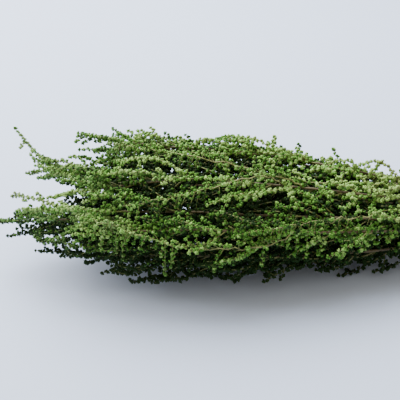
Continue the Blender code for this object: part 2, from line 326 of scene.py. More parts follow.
def free_twig(room, number, stem, turn):
    """A twig's route that stays clear of every other stem, or None where there is no room for one."""
    draw = random.Random(SEEDS_PER_STEM * number + turn)
    share = (turn + draw.uniform(*TWIG_PLACES)) / TWIGS_PER_STEM
    start, forward = point_at(stem["route"], stem["lengths"], leafy_distance(stem, share))
    outward = math.atan2(start.z - plume_section(start.x)[0], start.y)
    turned = (turn * GOLDEN_ANGLE + number) % (2 * math.pi) - math.pi
    for attempt in range(TWIG_TRIES):
        azimuth = outward + FAVOUR_OUTSIDE * turned
        azimuth += draw.uniform(-TURNED_PER_TRY, TURNED_PER_TRY) * attempt
        lean = draw.uniform(*TWIG_LEANS)
        length = TWIG_LENGTH * (1 - TWIG_LENGTH_LOST_AT_TIP * share)
        length *= 1 - TWIG_LENGTH_LOST_PER_TRY * attempt
        points = grown_twig(draw, start, forward, azimuth, lean, max(length, SHORTEST_TWIG))
        rings = list(zip(*tuft_chain(points)))
        near_stem = all(room.is_free(*ring, ignored_stem=number) for ring in rings[:RINGS_IN_STEM])
        if near_stem and all(room.is_free(*ring) for ring in rings[RINGS_IN_STEM:]):
            for centre, radius in rings[1:]:
                room.fill(number, centre, radius)
            return points
    return None


room = Room()
stems = [bare_stem(room, number, *stem) for number, stem in enumerate(STEMS)]
for turn in range(TWIGS_PER_STEM):
    for number, stem in enumerate(stems):
        twig = free_twig(room, number, stem, turn)
        if twig:
            stem["twigs"].append(twig)

# The growth that shows most. Long olive branches lie over the rest, with short chains of tufts hanging from
# them. Three small twigs stand on the upper outline, where one curls over and one is the first above the
# bare stalks. Three low twigs sag onto the surface, under the tips.
SHOWN_BRANCHES = (
    (5, -0.228, (-0.250, -0.094, 0.056), (-0.330, -0.092, 0.061), (-0.392, -0.070, 0.081)),
    (0, -0.232, (-0.262, -0.024, 0.112), (-0.325, -0.016, 0.110), (-0.380, 0.008, 0.110)),
    (0, -0.212, (-0.246, -0.028, 0.114), (-0.300, -0.060, 0.098), (-0.370, -0.066, 0.089)),
    (2, -0.120, (-0.150, -0.048, 0.072), (-0.190, -0.060, 0.079), (-0.260, -0.079, 0.072)),
)
SHOWN_TWIGS = (
    (1, -0.186, (-0.186, 0.018, 0.090), (-0.160, 0.022, 0.096), (-0.165, 0.018, 0.076)),
    (1, -0.144, (-0.148, 0.014, 0.068), (-0.151, 0.014, 0.072), (-0.150, 0.014, 0.081)),
    (1, -0.104, (-0.110, 0.010, 0.062), (-0.120, 0.010, 0.070), (-0.134, 0.010, 0.076)),
)
LOW_TWIGS = (
    (9, -0.315, (-0.345, -0.066, 0.030), (-0.365, -0.070, 0.023), (-0.379, -0.072, 0.030)),
    (9, -0.280, (-0.305, -0.070, 0.024), (-0.330, -0.072, 0.018), (-0.348, -0.064, 0.015)),
    (12, -0.300, (-0.325, -0.055, 0.016), (-0.345, -0.062, 0.014), (-0.366, -0.064, 0.015)),
)
BRANCH_UNREST = 0.0015
HANGING_FROM = 0.08
BARE_BELOW_TO = 0.30
HANGING_SPACING = 0.0042
HANGING_SPACING_SPREAD = (0.7, 1.3)
HANGING_SHARE = 0.45
HANGING_AZIMUTHS = (-math.pi / 2 - 0.5, -math.pi / 2 + 0.5)
UPPER_AZIMUTHS = (0, math.pi)
HANGING_LENGTHS = (0.008, 0.034)
HANGING_DROOP = 0.5
HANGING_EDGE = 1.03
SHORT_LENGTHS = (0.006, 0.012)
SPRIG_LEANS = (math.radians(36), math.radians(66))
SPRIG_DROOP = 0.07
SPRIG_UNREST = 0.04


def shown_route(draw, stem, leaves_at_x, way_out, bend, tip):
    """The route of a branch or twig from its stem to its tip, bent by two points and a little crooked."""
    start = next(point for point in stem["route"] if point.x <= leaves_at_x)
    steps = round((start - Vector(tip)).length / TWIG_STEP) + 2
    route = interpolate_bezier(start, Vector(way_out), Vector(bend), Vector(tip), steps)
    for point in route[1:]:
        point += BRANCH_UNREST * Vector([draw.uniform(-1, 1) for _ in range(3)])
    return route


def shown_routes(draw, stem, rows):
    """The routes of those rows that are a stem's own. A row starts with the number of its stem."""
    return [shown_route(draw, stem, *row) for number, *row in rows if stems[number] is stem]


def hanging_chains(draw, branch):
    """The chains that hang from a shown branch, with short sprigs between them on its upper side."""
    lengths = lengths_along(branch)
    chains = []
    distance = HANGING_FROM * lengths[-1]
    while distance < lengths[-1]:
        start, forward = point_at(branch, lengths, distance)
        hangs = draw.random() < HANGING_SHARE and distance > BARE_BELOW_TO * lengths[-1]
        azimuth = draw.uniform(*(HANGING_AZIMUTHS if hangs else UPPER_AZIMUTHS))
        lean = draw.uniform(*SPRIG_LEANS)
        length = draw.uniform(*(HANGING_LENGTHS if hangs else SHORT_LENGTHS))
        habit = 0, even_edge(HANGING_EDGE), HANGING_DROOP if hangs else SPRIG_DROOP, SPRIG_UNREST
        chains.append(grown_twig(draw, start, forward, azimuth, lean, length, *habit))
        distance += HANGING_SPACING * draw.uniform(*HANGING_SPACING_SPREAD)
    return chains


# The rest of the growth. Between its leading twigs each stem carries over three times as many more, and every
# twig is a small frond, with short sprigs to its left and right. New growth turns to where there is most
# light, so the fronds of neighbouring stems fill the plume between them.
GROWTH_SEED = 8000
# One stem's tip stands up alone: its side twigs end sooner, and its sprigs are sparse.
LONE_TIP_STEM = 11
LONE_TIP_SHARE = 0.86
FREE_TIPS_FROM = 0.88
LEAN_LOST_AT_TIP = 0.5
LENGTH_LOST_AT_TIP = 0.22

FILLING_TWIGS = 25
FILLING_PLACES = (0.1, 0.9)
FILLING_LEANS = (math.radians(18), math.radians(50))
FILLING_LENGTHS = (0.045, 0.100)
FILLING_TURN = 0.022
FILLING_DROOP = 0.014
CROWDED_TO_TIP = 0.56
MIXED_ORDER = 11
INNER_TWIGS_EVERY = 2

LONG_BRANCHES = 2
LONG_PLACES = (0.1, 0.7)
LONG_BRANCHES_TO = 0.6
LONG_LEANS = (math.radians(10), math.radians(20))
LONG_LENGTHS = (0.120, 0.180)
LONG_TURN = 0.012

FILLING_EDGE = 0.90
INNER_EDGE = 0.70
EDGE_LOST_BELOW = 0.215
LOST_BELOW_AT_BAND = 1.3
LOST_BELOW_LESS_AT_TIP = 0.4
EDGE_LOST_NEAR_BAND = 1.1
SLIMNESS_FADE = 5

SPRIG_SPACING = 0.0116
TIP_SPRIG_SPACING = 0.0050
AXIS_SPRIG_SPACING = 0.0060
SPRIG_SPACING_SPREAD = (0.75, 1.3)
SPRIG_CROWDING = 0.7
AXIS_SPRIG_CROWDING = -0.95
SPRIG_START = 0.008
SPRIG_LENGTHS = (0.009, 0.020)
SPRIG_TURN_SPREAD = 0.35
SPRIG_LOST_AT_TIP = 0.25
SHORTER_AT_TIPS = 0.25
STRAIGHTER_AT_TIP = 0.62

LIGHT_CELL = 0.009
CHOICES_FOR_TWIG = 9
CHOICES_FOR_FROND = 3
EDGE_COST = 60
LIGHT_OUTSIDE = 1.5
shade = {}


def light_cell(point):
    """The small cube of the plume that a point lies in."""
    return tuple(math.floor(c / LIGHT_CELL) for c in point)


def cast_shade(route):
    """Notes the tufts that a new route will carry, by the cubes that they fill."""
    for point in route[1:]:
        cell = light_cell(point)
        shade[cell] = shade.get(cell, 0) + 1


def darkness(route, light_outside=LIGHT_OUTSIDE):
    """How crowded the outer part of a route is, and how far it leaves the plume."""
    outer = route[len(route) // 3:]
    crowded = sum(shade.get(light_cell(point), 0) for point in outer)
    outs = [outness(point).length for point in outer]
    outside = sum(max(out - 1, 0) for out in outs)
    return (crowded + EDGE_COST * outside - light_outside * sum(min(out, 1) for out in outs)) / len(outer)


def slimness(share):
    """How much slimmer than its section the plume is, near the bare stalks."""
    return EDGE_LOST_NEAR_BAND * (1 - share)**SLIMNESS_FADE


def filling_edge(point, out):
    """How far out the filling growth reaches: less underneath, and less near the bare stalks."""
    share = plume_share(point)
    lost_below = EDGE_LOST_BELOW * (LOST_BELOW_AT_BAND - LOST_BELOW_LESS_AT_TIP * share)
    return FILLING_EDGE - lost_below * max(-out.z, 0) - slimness(share)


def brightest_twig(draw, stem, share, length, leans, turning, edge_at, light_outside=LIGHT_OUTSIDE):
    """A side twig that leaves a stem at a share of its leafy length, and grows to where it is light."""
    start, forward = point_at(stem["route"], stem["lengths"], leafy_distance(stem, share))
    choices = []
    for _ in range(CHOICES_FOR_TWIG if share < FREE_TIPS_FROM else 1):
        lean = draw.uniform(*leans) * (1 - LEAN_LOST_AT_TIP * share**3)
        azimuth = draw.uniform(0, 2 * math.pi)
        habit = turning, edge_at, FILLING_DROOP
        choices.append(grown_twig(draw, start, forward, azimuth, lean, length, *habit))
    return min(choices, key=lambda route: darkness(route, light_outside))


def filling_twig(draw, stem, turn):
    """A twig between a stem's leading twigs. Every second one stays in the heart of the plume."""
    share = ((turn + draw.uniform(*FILLING_PLACES)) / FILLING_TWIGS)**CROWDED_TO_TIP
    if stem is lone_tip:
        share *= LONE_TIP_SHARE
    length = draw.uniform(*FILLING_LENGTHS) * (1 - LENGTH_LOST_AT_TIP * share)
    edge_at, light_outside = filling_edge, LIGHT_OUTSIDE
    if turn % INNER_TWIGS_EVERY == 0:
        edge_at, light_outside = even_edge(INNER_EDGE), 0
    return brightest_twig(draw, stem, share, length, FILLING_LEANS, FILLING_TURN, edge_at, light_outside)


def long_branch(draw, stem, turn):
    """A long side branch, bare and olive at its root, which lies over the other growth."""
    share = (turn + draw.uniform(*LONG_PLACES)) / LONG_BRANCHES * LONG_BRANCHES_TO
    length = draw.uniform(*LONG_LENGTHS) * (1 - LENGTH_LOST_AT_TIP * share)
    return brightest_twig(draw, stem, share, length, LONG_LEANS, LONG_TURN, filling_edge)


def sprigs_on(draw, route, first, last, spacing, turn, crowding=SPRIG_CROWDING):
    """The short sprigs on a part of a route, each set at a turn round it from the last."""
    lengths = lengths_along(route)
    azimuth = draw.uniform(0, 2 * math.pi)
    sprigs = []
    distance = first
    while distance < last:
        start, forward = point_at(route, lengths, distance)
        share = plume_share(start)
        length = draw.uniform(*SPRIG_LENGTHS) * (1 - SPRIG_LOST_AT_TIP * distance / lengths[-1])
        length *= 1 - SHORTER_AT_TIPS * share**4
        around = azimuth + draw.uniform(-SPRIG_TURN_SPREAD, SPRIG_TURN_SPREAD)
        lean = (1 - STRAIGHTER_AT_TIP * share**2) * draw.uniform(*SPRIG_LEANS)
        habit = TURN_TO_TIP, filling_edge, SPRIG_DROOP * (1 - share**4), SPRIG_UNREST
        sprigs.append(grown_twig(draw, start, forward, around, lean, length, *habit))
        azimuth += turn
        sparseness = 1 + crowding * (0.5 - (distance - first) / (last - first))
        distance += spacing * draw.uniform(*SPRIG_SPACING_SPREAD) * sparseness
    return sprigs


def brightest_frond(draw, twig, spacing):
    """The sprigs on a twig, spread to the sides where they find most light."""
    last = lengths_along(twig)[-1] - SPRIG_START
    fronds = [sprigs_on(draw, twig, SPRIG_START, last, spacing, math.pi) for _ in range(CHOICES_FOR_FROND)]
    return min(fronds, key=lambda sprigs: sum(darkness(sprig) for sprig in sprigs))


lone_tip = stems[LONE_TIP_STEM]
growth_draws = [random.Random(GROWTH_SEED + number) for number in range(len(stems))]
for stem in stems:
    for twig in stem["twigs"]:
        cast_shade(twig)
for draw, stem in zip(growth_draws, stems):
    stem["branches"] = shown_routes(draw, stem, SHOWN_BRANCHES)
    stem["shown_twigs"] = shown_routes(draw, stem, SHOWN_TWIGS)
    stem["hanging"] = []
    for branch in stem["branches"]:
        stem["hanging"] += hanging_chains(draw, branch)
    stem["twigs"] += shown_routes(draw, stem, LOW_TWIGS)
    long_branches = [long_branch(draw, stem, turn) for turn in range(LONG_BRANCHES)]
    stem["twigs"] += long_branches
    for route in stem["branches"] + stem["hanging"] + long_branches:
        cast_shade(route)
for turn in range(FILLING_TWIGS):
    for draw, stem in zip(growth_draws, stems):
        stem["twigs"].append(filling_twig(draw, stem, turn * MIXED_ORDER % FILLING_TWIGS))
        cast_shade(stem["twigs"][-1])
for draw, stem in zip(growth_draws, stems):
    stem["sprigs"] = sprigs_on(
        draw, stem["route"], leafy_distance(stem, 0), stem["axis_length"],
        AXIS_SPRIG_SPACING, GOLDEN_ANGLE, AXIS_SPRIG_CROWDING,
    )
    for twig in stem["twigs"]:
        is_full_tip = twig is stem["twigs"][0] and stem is not lone_tip
        frond = brightest_frond(draw, twig, TIP_SPRIG_SPACING if is_full_tip else SPRIG_SPACING)
        stem["sprigs"] += frond
        for sprig in frond:
            cast_shade(sprig)
    stem["twigs"] += stem["shown_twigs"]

# The wood of each leafy stem: the thick axis, brown and bare where it is tied, its olive twigs, and its thin
# green sprigs. It grew as one piece, swollen where a twig leaves it and uneven where the florist pulled the
# leaves off, and its cut end shows pale wood inside the bark.
AXIS_POINT_SPACING = 0.0036
WOOD_TAPER = 0.42
BARE_BUMPS = (0.95, 1.07)
KNUCKLE_SWELL = 1.22
BARK_THICKNESS = 0.0004
TWIG_ROOT_RADIUS = 0.00072
TWIG_TIP_RADIUS = 0.00040
SPRIG_ROOT_RADIUS = 0.00046
SPRIG_TIP_RADIUS = 0.00030
WELD = 0.00001
WOOD_SEED = 900
BRANCH_YOUTH = 0.5
TWIG_YOUTH = 0.6
SPRIG_YOUTH = 0.8
YOUTH_GAINED_TO_TIP = 0.4
BARK_PATCHINESS = 0.35
STREAKS_FROM = 0.48
STREAK_CONTRAST = 4
# Painted shade: young wood low in the bunch, in the plume's shadow, is painted darker.
DARK_BELOW = 0.048
DARKENED_PER_METRE = 26
MOST_DARKENED = 0.8
DARKENED_WHERE_YOUNG = 3


class Paint:
    """One socket of a material's nodes. Arithmetic on it adds Math nodes, and node() adds any other node."""

    def __init__(self, tree, socket=None):
        self.tree = tree
        self.socket = socket

    def plug(self, socket, value):
        """Sets a socket to a value, or links it to another socket."""
        if isinstance(value, Paint):
            self.tree.links.new(value.socket, socket)
        else:
            socket.default_value = value

    def node(self, kind, settings, inputs, output=0):
        """Adds a node, with its settings first and then the values or links of its sockets."""
        made = self.tree.nodes.new(kind)
        for name, value in settings.items():
            setattr(made, name, value)
        for name, value in inputs.items():
            self.plug(made.inputs[name], value)
        return Paint(self.tree, made.outputs[output])

    def math(self, operation, *values):
        return self.node("ShaderNodeMath", {"operation": operation}, dict(enumerate(values)))

    def __add__(self, other):
        return self.math("ADD", self, other)

    def __sub__(self, other):
        return self.math("SUBTRACT", self, other)

    def __mul__(self, other):
        return self.math("MULTIPLY", self, other)

    def __rsub__(self, other):
        return self.math("SUBTRACT", other, self)

    __radd__ = __add__
    __rmul__ = __mul__

    def kept_in_unit(self):
        """This value, kept from 0 to 1."""
        return self.node("ShaderNodeClamp", {}, {0: self})

    def attribute(self, name):
        """A number that each vertex of the mesh carries."""
        return self.node("ShaderNodeAttribute", {"attribute_name": name}, {}, output="Fac")

    def place(self):
        """The place in the bunch."""
        return self.node("ShaderNodeTexCoord", {}, {}, output="Object")

    def stretched(self, scale):
        """This place with its X, Y and Z scaled, so that noise over it is drawn out."""
        return self.node("ShaderNodeMapping", {}, {"Vector": self, "Scale": scale})

    def noise(self, scale, detail):
        """Soft noise over this place."""
        return self.node("ShaderNodeTexNoise", {}, {"Vector": self, "Scale": scale, "Detail": detail})

    def bump(self, strength, distance):
        """A surface raised by this value."""
        raised = {"Strength": strength, "Distance": distance, "Height": self}
        return self.node("ShaderNodeBump", {}, raised)

    def ramp(self, *stops):
        """The colour for this value, blended between stops that each hold a value and its colour."""
        color = self.node("ShaderNodeValToRGB", {}, {0: self})
        elements = color.socket.node.color_ramp.elements
        while len(elements) < len(stops):
            elements.new(1)
        for element, (value, color_there) in zip(elements, stops):
            element.position = value
            element.color = color_there
        return color

    def mixed(self, other, share):
        """This colour mixed with another by a share from 0 to 1."""
        return self.node("ShaderNodeMix", {"data_type": "RGBA"}, {0: share, 6: self, 7: other}, output=2)


def new_finish(name):
    """A new material, its first Paint to build on, and a function that plugs its shader's sockets by name."""
    material = bpy.data.materials.new(name)
    material.use_nodes = True
    shader = material.node_tree.nodes["Principled BSDF"]
    start = Paint(material.node_tree)

    def finish(**sockets):
        for socket, value in sockets.items():
            start.plug(shader.inputs[socket.replace("_", " ")], value)

    return material, start, finish


def bark_finish():
    """Bark from grey-brown on the old wood, through olive, to yellow-green sprigs, and the pale cut end, with
    painted shade on the young wood low in the bunch.
    """
    material, start, finish = new_finish("stoebe_bark")
    youth = start.attribute("youth")
    place = start.place()
    streaks = place.stretched((0.22, 1, 1)).noise(scale=900, detail=3)
    patches = place.noise(scale=90, detail=2)
    color = (youth + (patches - 0.5) * BARK_PATCHINESS).kept_in_unit().ramp(
        (0.0, (0.066, 0.048, 0.020, 1)),
        (0.30, (0.090, 0.074, 0.026, 1)),
        (0.60, (0.190, 0.200, 0.062, 1)),
        (1.0, (0.150, 0.200, 0.048, 1)),
    )
    color = color.mixed((0.05, 0.04, 0.025, 1), (streaks - STREAKS_FROM).kept_in_unit() * STREAK_CONTRAST)
    # Painted shade: the young wood is painted darker towards the bottom of the bunch, where the plume shades
    # it.
    height = start.node("ShaderNodeSeparateXYZ", {}, {0: place}, output=2)
    painted_shade_low = ((DARK_BELOW - height) * DARKENED_PER_METRE).kept_in_unit()
    painted_shade_share = painted_shade_low * MOST_DARKENED * (youth * DARKENED_WHERE_YOUNG).kept_in_unit()
    color = color.mixed((0.020, 0.022, 0.010, 1), painted_shade_share)
    cut = start.attribute("cut")
    color = color.mixed((0.50, 0.40, 0.22, 1), cut * (1.25 - patches * 0.5))
    ridges = streaks.bump(strength=0.7, distance=0.0005)
    finish(Base_Color=color, Roughness=0.5 + streaks * 0.25, Normal=ridges)
    return material


def mesh_of(holder):
    """The mesh that a curve's object makes. The object is removed."""
    graph = bpy.context.evaluated_depsgraph_get()
    mesh = bpy.data.meshes.new_from_object(holder.evaluated_get(graph))
    bpy.data.objects.remove(holder)
    return mesh


def rods(routes, bevel_resolution):
    """A closed mesh of round rods: each route is points with radii."""
    curve = bpy.data.curves.new("rods", "CURVE")
    curve.dimensions = "3D"
    curve.bevel_depth = 1.0
    curve.bevel_resolution = bevel_resolution
    curve.use_fill_caps = True
    for points, radii in routes:
        spline = curve.splines.new("POLY")
        spline.points.add(len(points) - 1)
        for knot, point, radius in zip(spline.points, points, radii):
            knot.co = (*(point + band_place), 1)
            knot.radius = radius
    holder = bpy.data.objects.new("rods", curve)
    bpy.context.scene.collection.objects.link(holder)
    return mesh_of(holder)


def tapered(route, root_radius, tip_radius):
    """A route with radii that go evenly from its root to its tip."""
    last = len(route) - 1
    return route, [root_radius + (tip_radius - root_radius) * i / last for i in range(last + 1)]


def thinned(route):
    """Every second point of a route, and its tip."""
    return [*route[:-1:2], route[-1]]


def axis_rod(draw, stem):
    """The axis of a stem, swollen where each twig leaves it, and bumpy where its leaves were pulled off."""
    count = round(stem["axis_length"] / AXIS_POINT_SPACING)
    points = []
    radii = []
    for i in range(count + 1):
        points.append(point_at(stem["route"], stem["lengths"], stem["axis_length"] * i / count)[0])
        radii.append(axis_radius(i / count, WOOD_TAPER))
    for twig in stem["twigs"][1:]:
        nearest = min(range(count + 1), key=lambda i: (points[i] - twig[0]).length)
        radii[nearest] *= KNUCKLE_SWELL
    for i in range(1, count):
        if points[i].x > LEAVES_START_X:
            radii[i] *= draw.uniform(*BARE_BUMPS)
    return points, radii


def cut_across(work):
    """Makes a stem's cap one sharp-edged face with a rim of bark round pale wood, and returns the wood."""
    end_x = max(vertex.co.x for vertex in work.verts)
    cap = [f for f in work.faces if min(vertex.co.x for vertex in f.verts) > end_x - BARK_THICKNESS]
    cut_face = bmesh.ops.dissolve_faces(work, faces=cap)["region"][0]
    for edge in cut_face.edges:
        edge.smooth = False
    bmesh.ops.inset_individual(work, faces=[cut_face], thickness=BARK_THICKNESS)
    return cut_face


def piece_from(work, name, material, smooth=True):
    """Makes a bmesh an object in the scene, with its place in its mesh."""
    mesh = bpy.data.meshes.new(name)
    work.to_mesh(mesh)
    work.free()
    mesh.materials.append(material)
    if smooth:
        mesh.shade_smooth()
    piece = bpy.data.objects.new(name, mesh)
    bpy.context.scene.collection.objects.link(piece)
    return piece


bark = bark_finish()
for number, stem in enumerate(stems):
    draw = random.Random(WOOD_SEED + number)
    terminal, *side_twigs = stem["twigs"]
    twigs = [tapered(terminal, AXIS_END_RADIUS, TWIG_TIP_RADIUS)]
    twigs += [tapered(thinned(twig), TWIG_ROOT_RADIUS, TWIG_TIP_RADIUS) for twig in side_twigs]
    branches = [tapered(thinned(route), TWIG_ROOT_RADIUS, TWIG_TIP_RADIUS) for route in stem["branches"]]
    sprigs = []
    for sprig in stem["sprigs"] + stem["hanging"]:
        bend = sprig[len(sprig) // 2]
        sprigs.append(tapered([sprig[0], bend, sprig[-1]], SPRIG_ROOT_RADIUS, SPRIG_TIP_RADIUS))
    work = bmesh.new()
    youth = work.verts.layers.float.new("youth")
    cut = work.verts.layers.float.new("cut")
    for grown, bevel_resolution, least_youth in (
        ([axis_rod(draw, stem)], 2, 0),
        (branches, 1, BRANCH_YOUTH),
        (twigs, 0, TWIG_YOUTH),
        (sprigs, 0, SPRIG_YOUTH),
    ):
        first = len(work.verts)
        work.from_mesh(rods(grown, bevel_resolution))
        work.verts.ensure_lookup_table()
        for vertex in work.verts[first:]:
            vertex[youth] = least_youth + YOUTH_GAINED_TO_TIP * plume_share(vertex.co - band_place)
    bmesh.ops.remove_doubles(work, verts=work.verts, dist=WELD)
    for vertex in cut_across(work).verts:
        vertex[cut] = 1
    wood = piece_from(work, f"stem_{number + 1:02d}_wood", bark)
    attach(wood, "root")
    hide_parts(f"leafy_stem_{number + 1:02d}")

# The elastic band. It is one loop of tan rubber, wound three times round the bare stalks and stretched flat
# over the outer ones. Where the loop closes, it crosses over its own turns on top of the bundle.
BAND_TURNS = 3
TURN_WIDTH = 0.003
RUBBER_WIDTH = 0.0028
RUBBER_THICKNESS = 0.0011
RUBBER_CORNERS = 12
RUBBER_SQUARENESS = 0.5
BELT_POINTS = 60
CROSSING_POINTS = 9
CROSSING_LIFT = 0.0012
DUST_FROM = 0.55
DUST_CONTRAST = 1.5


def rubber_finish():
    """Tan rubber, a little uneven in colour and dulled by dust, with fine lines along its length."""
    material, start, finish = new_finish("tan_rubber")
    place = start.place()
    clouds = place.noise(scale=260, detail=3)
    lines = place.stretched((1, 0.05, 0.05)).noise(scale=5200, detail=2)
    rubber = clouds.ramp((0.25, (0.42, 0.27, 0.13, 1)), (0.75, (0.58, 0.41, 0.23, 1)))
    dusty = rubber.mixed((0.62, 0.55, 0.44, 1), (lines - DUST_FROM).kept_in_unit() * DUST_CONTRAST)
    ridges = lines.bump(strength=0.3, distance=0.0001)
    finish(Base_Color=dusty, Roughness=0.48 + clouds * 0.2, Normal=ridges)
    return material


def band_point(step):
    """A point of the loop's middle line, as (y, z, x), at a step of its way round the outer stalks."""
    turn, step_in_turn = divmod(step, BELT_POINTS)
    angle = math.pi / 2 + 2 * math.pi * step_in_turn / BELT_POINTS
    crossed = max(step_in_turn + CROSSING_POINTS - BELT_POINTS, 0) / CROSSING_POINTS
    lane, lift = turn + crossed, 0
    if turn == BAND_TURNS - 1:
        lane = turn * (1 - eased(crossed))
        lift = CROSSING_LIFT * min(2 * math.sin(math.pi * crossed), 1)
    out = Vector((math.cos(angle), math.sin(angle)))
    outer_stalk = max((Vector(bundle_place(row, place)) for row, place, *_ in STEMS), key=out.dot)
    y, z = outer_stalk + out * (STEM_RADIUS + TOUCHING_GAP + RUBBER_THICKNESS / 2 + lift)
    return y, z, (lane - (BAND_TURNS - 1) / 2) * TURN_WIDTH


def rubber_corner(i):
    """A corner of the rubber's own section, which is an oblong with rounded corners."""
    angle = 2 * math.pi * i / RUBBER_CORNERS
    u, v = (math.copysign(abs(c)**RUBBER_SQUARENESS, c) for c in (math.cos(angle), math.sin(angle)))
    return u * RUBBER_THICKNESS / 2, v * RUBBER_WIDTH / 2, 0


def closed_curve(name, dimensions, corners):
    """An object with one closed curve through the corners."""
    curve = bpy.data.curves.new(name, "CURVE")
    curve.dimensions = dimensions
    spline = curve.splines.new("POLY")
    spline.points.add(len(corners) - 1)
    spline.use_cyclic_u = True
    for knot, corner in zip(spline.points, corners):
        knot.co = (*corner, 1)
    made = bpy.data.objects.new(name, curve)
    bpy.context.scene.collection.objects.link(made)
    return made


section = closed_curve("rubber_section", "2D", [rubber_corner(i) for i in range(RUBBER_CORNERS)])
loop = closed_curve("rubber_loop", "3D", [band_point(step) for step in range(BAND_TURNS * BELT_POINTS)])
loop.data.twist_mode = "Z_UP"
loop.data.bevel_mode = "OBJECT"
loop.data.bevel_object = section
work = bmesh.new()
work.from_mesh(mesh_of(loop))
bpy.data.objects.remove(section)
# The loop was drawn lying flat, with its width upwards: its own X, Y and Z are the bunch's Y, Z and X.
stood_up = Matrix(((0, 0, 1, 0), (1, 0, 0, 0), (0, 1, 0, 0), (0, 0, 0, 1)))
bmesh.ops.transform(work, matrix=Matrix.Translation(band_place) @ stood_up, verts=work.verts)
bmesh.ops.recalc_face_normals(work, faces=work.faces)
rubber_loop = piece_from(work, "rubber_loop", rubber_finish())
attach(rubber_loop, "root")
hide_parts("elastic_band")

# The leaf tufts. Stoebe's leaves are two or three millimetres long and grow in tight round tufts, like small
# green beads, left and right along every twig. Preserving in glycerine keeps them soft, bright green and
# faintly glossy.
TUFT_SEED = 500
TUFT_KINDS = 5
TUFT_KINDS_SEED = 31
# How open a place is at least, how many leaves its tufts have, and how much larger they are: those deep in
# the plume need fewer leaves.
LEAVES_BY_DEPTH = ((0.94, 6, 1.0), (0.81, 4, 1.1), (0.64, 3, 1.2), (0.0, 2, 1.35))
LEAF_SIDES = 5
LEAF_POINTEDNESS = 0.18
LEAF_WIDTHS = (0.50, 0.60)
LEAF_LENGTHS = (0.58, 0.68)
LEAF_FLATNESS = 0.72
LEAF_OUT = 0.42
FULLER_WHERE_FEW = 0.3
TOP_LEAVES_SHARE = 0.34
TOP_LEAF_LEAN = math.radians(24)
SIDE_LEAF_LEAN = math.radians(72)
LEAF_LEAN_SPREAD = 0.15
LEAF_TURN_SPREAD = 0.2

NEAR_TUFT_RADIUS = 0.0027
TIP_TUFT_RADIUS = 0.0021
SMALLER_LATE = 1.3
TUFT_SIZES = (0.84, 1.12)
HANGING_SIZE = 0.82
TUFT_SPACING = 1.28
TUFT_SPACING_SPREAD = (0.88, 1.14)
CLOSER_AT_TIPS = 0.2
DEEP_BELOW = 0.76
DEEP_SPACING = 1.36
FIRST_TUFT_WITHIN = 0.4
LAST_TUFT_BEFORE = 0.35
TUFT_ROLL = 0.55
TUFT_SIDESTEP_SHARE = 0.8
TUFT_FORWARD = 1.1
FORWARD_AT_TIPS = 0.9
LOWEST_LEAF = 0.0001

TWIG_BARE_LENGTH = 0.009
SPRIG_BARE_LENGTH = 0.001
CHAIN_BARE_LENGTH = 0.003
BRANCH_BARE_SHARE = 0.6
COVERED_STEM = 5
COVERED_BARE_LENGTH = 0.02

OPEN_FROM = 0.72
OPEN_TIPS_X = FAN_START_X - OPEN_FROM * PLUME_LENGTH
OPENNESS = 3
OPEN_TIPS_HEIGHT = 0.02
OPEN_TIPS_LEVELLED = 0.75
SLIMMEST = 0.5

USUAL_TONE = 0.45
STEM_TONE_SPREAD = 0.08
ROUTE_TONE_SPREAD = 0.16
TUFT_TONE_SPREAD = 0.16
LEAF_TONE_SPREAD = 0.17
# Painted light: the tufts of the hanging chains and shown branches, which stand out into the light, are
# painted lighter.
HANGING_PAINTED_LIGHT = 0.10
# Painted light and shade by height: tufts are painted lighter on top and on the bulging sides, and darker
# underneath.
TOP_FROM = 0.45
TOP_GAIN_AT_BAND = 1.3
TOP_GAIN_LOST_TO_TIPS = 0.65
SIDE_BRIGHTNESS = 0.74
SIDE_HEIGHT = 0.14
SIDE_REACH = 0.32
LOW_DARKNESS = 1.2
LOW_FROM = 0.1
# Painted shade in the fold between the plume's top and its bulging sides.
FOLD_DARKNESS = 0.27
FOLD_DEEPER_AT_BAND = 4
FOLD_HEIGHT = 0.60
FOLD_REACH = 0.2
# Painted shade in the heart of the plume, deeper on its bulging sides.
INNER_DARKNESS = 2.9
UNSHADED_FROM = 0.92
GAPS_DARKER_ON_SIDE = 0.7
# Painted shade on the tufts towards the bare stalks, but for those on top.
NEAR_BAND_DARKNESS = 0.9
NEAR_BAND_TO = 0.42
MOTTLING = 0.4
FADED_PAST_X = -0.12
FADED_PATCHINESS = 3
FADED_PER_METRE = 4.5
BROWNED_BEFORE_X = 0.06
BROWNED_PATCHINESS = 2.5
BROWNED_PER_METRE = 12


def tuft_mesh(leaves, draw):
    """One round tuft of small plump leaves, 1 in radius, which points along +Z."""
    work = bmesh.new()
    tip = work.verts.layers.float.new("tip")
    tone = work.verts.layers.float.new("tone")
    fullness = (LEAVES_BY_DEPTH[0][1] / leaves)**FULLER_WHERE_FEW
    for i in range(leaves):
        made = bmesh.ops.create_uvsphere(work, u_segments=LEAF_SIDES, v_segments=2, radius=1)["verts"]
        shade_of_leaf = draw.gauss(0, LEAF_TONE_SPREAD)
        for vertex in made:
            vertex[tip] = min(max(0.5 + 0.5 * vertex.co.z, 0), 1)
            vertex[tone] = shade_of_leaf
            if abs(vertex.co.z) < 0.5:
                vertex.co.z += LEAF_POINTEDNESS
        width = draw.uniform(*LEAF_WIDTHS) * fullness
        shape = Matrix.Diagonal((width, LEAF_FLATNESS * width, draw.uniform(*LEAF_LENGTHS), 1))
        lean = TOP_LEAF_LEAN if i < TOP_LEAVES_SHARE * leaves else SIDE_LEAF_LEAN
        lean += draw.uniform(-LEAF_LEAN_SPREAD, LEAF_LEAN_SPREAD)
        turn = i * GOLDEN_ANGLE + draw.uniform(-LEAF_TURN_SPREAD, LEAF_TURN_SPREAD)
        leaned = Matrix.Rotation(turn, 4, "Z") @ Matrix.Rotation(lean, 4, "X")
        set_out = Matrix.Translation((0, 0, LEAF_OUT))
        bmesh.ops.transform(work, matrix=leaned @ set_out @ shape, verts=made)
    mesh = bpy.data.meshes.new("tuft")
    work.to_mesh(mesh)
    work.free()
    return mesh


